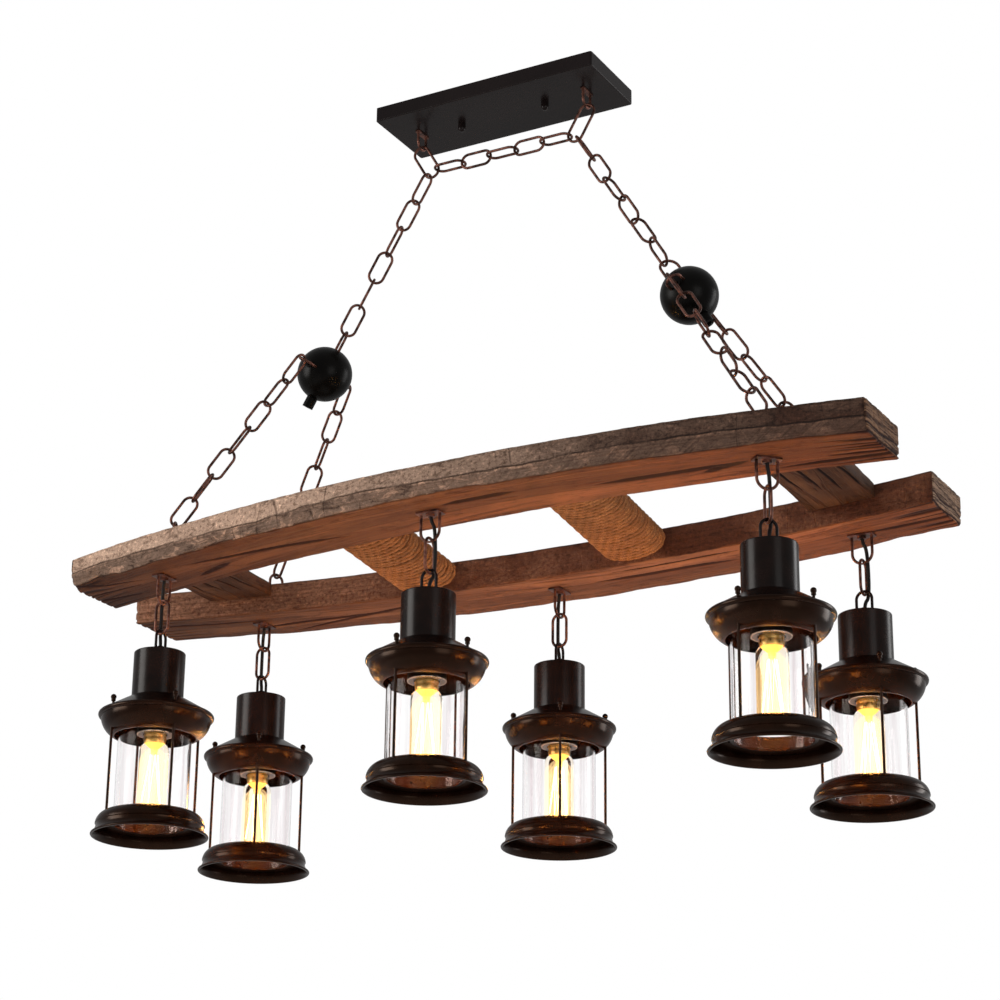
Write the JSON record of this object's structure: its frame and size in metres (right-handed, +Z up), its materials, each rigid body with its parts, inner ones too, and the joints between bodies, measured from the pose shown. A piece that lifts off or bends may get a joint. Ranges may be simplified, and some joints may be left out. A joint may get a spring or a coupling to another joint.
{
  "type": "pendant light",
  "caption": "Chain-hung pendant light: a bowed weathered-wood frame with rope-wound bars carries glass lanterns with tube bulbs",
  "frame": {"origin": "Centre of the ceiling bracket's top face, in the ceiling plane", "axes": "+X along the beams, +Y from the front beam to the rear beam, +Z up"},
  "size_m": [1.012, 0.424, 0.8707],
  "materials": {
    "black_gloss": "gloss black",
    "black_satin": "satin black",
    "lantern_black": "satin dark bronze",
    "zinc": "zinc plated",
    "dark_copper": "antique copper",
    "white_plastic": "matt",
    "holder_plastic": "matt black",
    "old_wood": "weathered, stained",
    "jute": "twisted rope",
    "black_flex": "matt",
    "clear_glass": "clear",
    "bulb_glass": "clear, warm"
  },
  "bodies": {
    "canopy": {"canopy_cover": "black_gloss", "ceiling_bracket": "zinc", "canopy_cap_nuts": "black_gloss", "canopy_hooks": "dark_copper", "terminal_block": "white_plastic"},
    "frame": {"tie_chain": "dark_copper", "upper_chains": "dark_copper", "junction_balls": "black_satin", "ball_eyes": "dark_copper", "lower_chains": "dark_copper", "front_beam": "old_wood", "rear_beam": "old_wood", "cross_rails": "old_wood", "rope_bars": "old_wood", "rope_windings": "jute", "beam_eyes": "dark_copper", "lantern_staples": "dark_copper", "lantern_cords": "black_flex"},
    "left_front_hanger": {"left_front_link": "dark_copper"},
    "left_front_lantern": {"left_front_cap": "lantern_black", "left_front_dish": "lantern_black", "left_front_cage": "lantern_black", "left_front_glass": "clear_glass", "left_front_lampholder": "holder_plastic", "left_front_bulb": "bulb_glass"},
    "middle_front_hanger": {"middle_front_link": "dark_copper"},
    "middle_front_lantern": {"middle_front_cap": "lantern_black", "middle_front_dish": "lantern_black", "middle_front_cage": "lantern_black", "middle_front_glass": "clear_glass", "middle_front_lampholder": "holder_plastic", "middle_front_bulb": "bulb_glass"},
    "right_front_hanger": {"right_front_link": "dark_copper"},
    "right_front_lantern": {"right_front_cap": "lantern_black", "right_front_dish": "lantern_black", "right_front_cage": "lantern_black", "right_front_glass": "clear_glass", "right_front_lampholder": "holder_plastic", "right_front_bulb": "bulb_glass"},
    "left_rear_hanger": {"left_rear_link": "dark_copper"},
    "left_rear_lantern": {"left_rear_cap": "lantern_black", "left_rear_dish": "lantern_black", "left_rear_cage": "lantern_black", "left_rear_glass": "clear_glass", "left_rear_lampholder": "holder_plastic", "left_rear_bulb": "bulb_glass"},
    "middle_rear_hanger": {"middle_rear_link": "dark_copper"},
    "middle_rear_lantern": {"middle_rear_cap": "lantern_black", "middle_rear_dish": "lantern_black", "middle_rear_cage": "lantern_black", "middle_rear_glass": "clear_glass", "middle_rear_lampholder": "holder_plastic", "middle_rear_bulb": "bulb_glass"},
    "right_rear_hanger": {"right_rear_link": "dark_copper"},
    "right_rear_lantern": {"right_rear_cap": "lantern_black", "right_rear_dish": "lantern_black", "right_rear_cage": "lantern_black", "right_rear_glass": "clear_glass", "right_rear_lampholder": "holder_plastic", "right_rear_bulb": "bulb_glass"}
  },
  "joints": [
    {"name": "frame_sway", "type": "hinge", "parent": "canopy", "child": "frame", "pos_m": [0, 0, -0.0355], "axis": [1, 0, 0], "range_deg": [-12, 12]},
    {"name": "left_front_hanger_swing", "type": "hinge", "parent": "frame", "child": "left_front_hanger", "pos_m": [-0.379, -0.10194, -0.60065], "axis": [0, 1, 0], "range_deg": [-12, 12], "deforming": ["lantern_cords"]},
    {"name": "left_front_lantern_swing", "type": "hinge", "parent": "left_front_hanger", "child": "left_front_lantern", "pos_m": [-0.379, -0.10194, -0.63615], "axis": [-1, 0, 0], "range_deg": [-12, 12], "deforming": ["lantern_cords"]},
    {"name": "middle_front_hanger_swing", "type": "hinge", "parent": "frame", "child": "middle_front_hanger", "pos_m": [0, -0.147, -0.60065], "axis": [1, 0, 0], "range_deg": [-12, 12], "deforming": ["lantern_cords"]},
    {"name": "middle_front_lantern_swing", "type": "hinge", "parent": "middle_front_hanger", "child": "middle_front_lantern", "pos_m": [0, -0.147, -0.63615], "axis": [0, 1, 0], "range_deg": [-12, 12], "deforming": ["lantern_cords"]},
    {"name": "right_front_hanger_swing", "type": "hinge", "parent": "frame", "child": "right_front_hanger", "pos_m": [0.379, -0.12771, -0.60065], "axis": [0.7071, 0.7071, 0], "range_deg": [-12, 12], "deforming": ["lantern_cords"]},
    {"name": "right_front_lantern_swing", "type": "hinge", "parent": "right_front_hanger", "child": "right_front_lantern", "pos_m": [0.379, -0.12771, -0.63615], "axis": [-0.7071, 0.7071, 0], "range_deg": [-12, 12], "deforming": ["lantern_cords"]},
    {"name": "left_rear_hanger_swing", "type": "hinge", "parent": "frame", "child": "left_rear_hanger", "pos_m": [-0.379, 0.10194, -0.60065], "axis": [0, 1, 0], "range_deg": [-12, 12], "deforming": ["lantern_cords"]},
    {"name": "left_rear_lantern_swing", "type": "hinge", "parent": "left_rear_hanger", "child": "left_rear_lantern", "pos_m": [-0.379, 0.10194, -0.63615], "axis": [-1, 0, 0], "range_deg": [-12, 12], "deforming": ["lantern_cords"]},
    {"name": "middle_rear_hanger_swing", "type": "hinge", "parent": "frame", "child": "middle_rear_hanger", "pos_m": [0, 0.147, -0.60065], "axis": [0, 1, 0], "range_deg": [-12, 12], "deforming": ["lantern_cords"]},
    {"name": "middle_rear_lantern_swing", "type": "hinge", "parent": "middle_rear_hanger", "child": "middle_rear_lantern", "pos_m": [0, 0.147, -0.63615], "axis": [-1, 0, 0], "range_deg": [-12, 12], "deforming": ["lantern_cords"]},
    {"name": "right_rear_hanger_swing", "type": "hinge", "parent": "frame", "child": "right_rear_hanger", "pos_m": [0.379, 0.12771, -0.60065], "axis": [1, 0, 0], "range_deg": [-12, 12], "deforming": ["lantern_cords"]},
    {"name": "right_rear_lantern_swing", "type": "hinge", "parent": "right_rear_hanger", "child": "right_rear_lantern", "pos_m": [0.379, 0.12771, -0.63615], "axis": [0, 1, 0], "range_deg": [-12, 12], "deforming": ["lantern_cords"]}
  ]
}
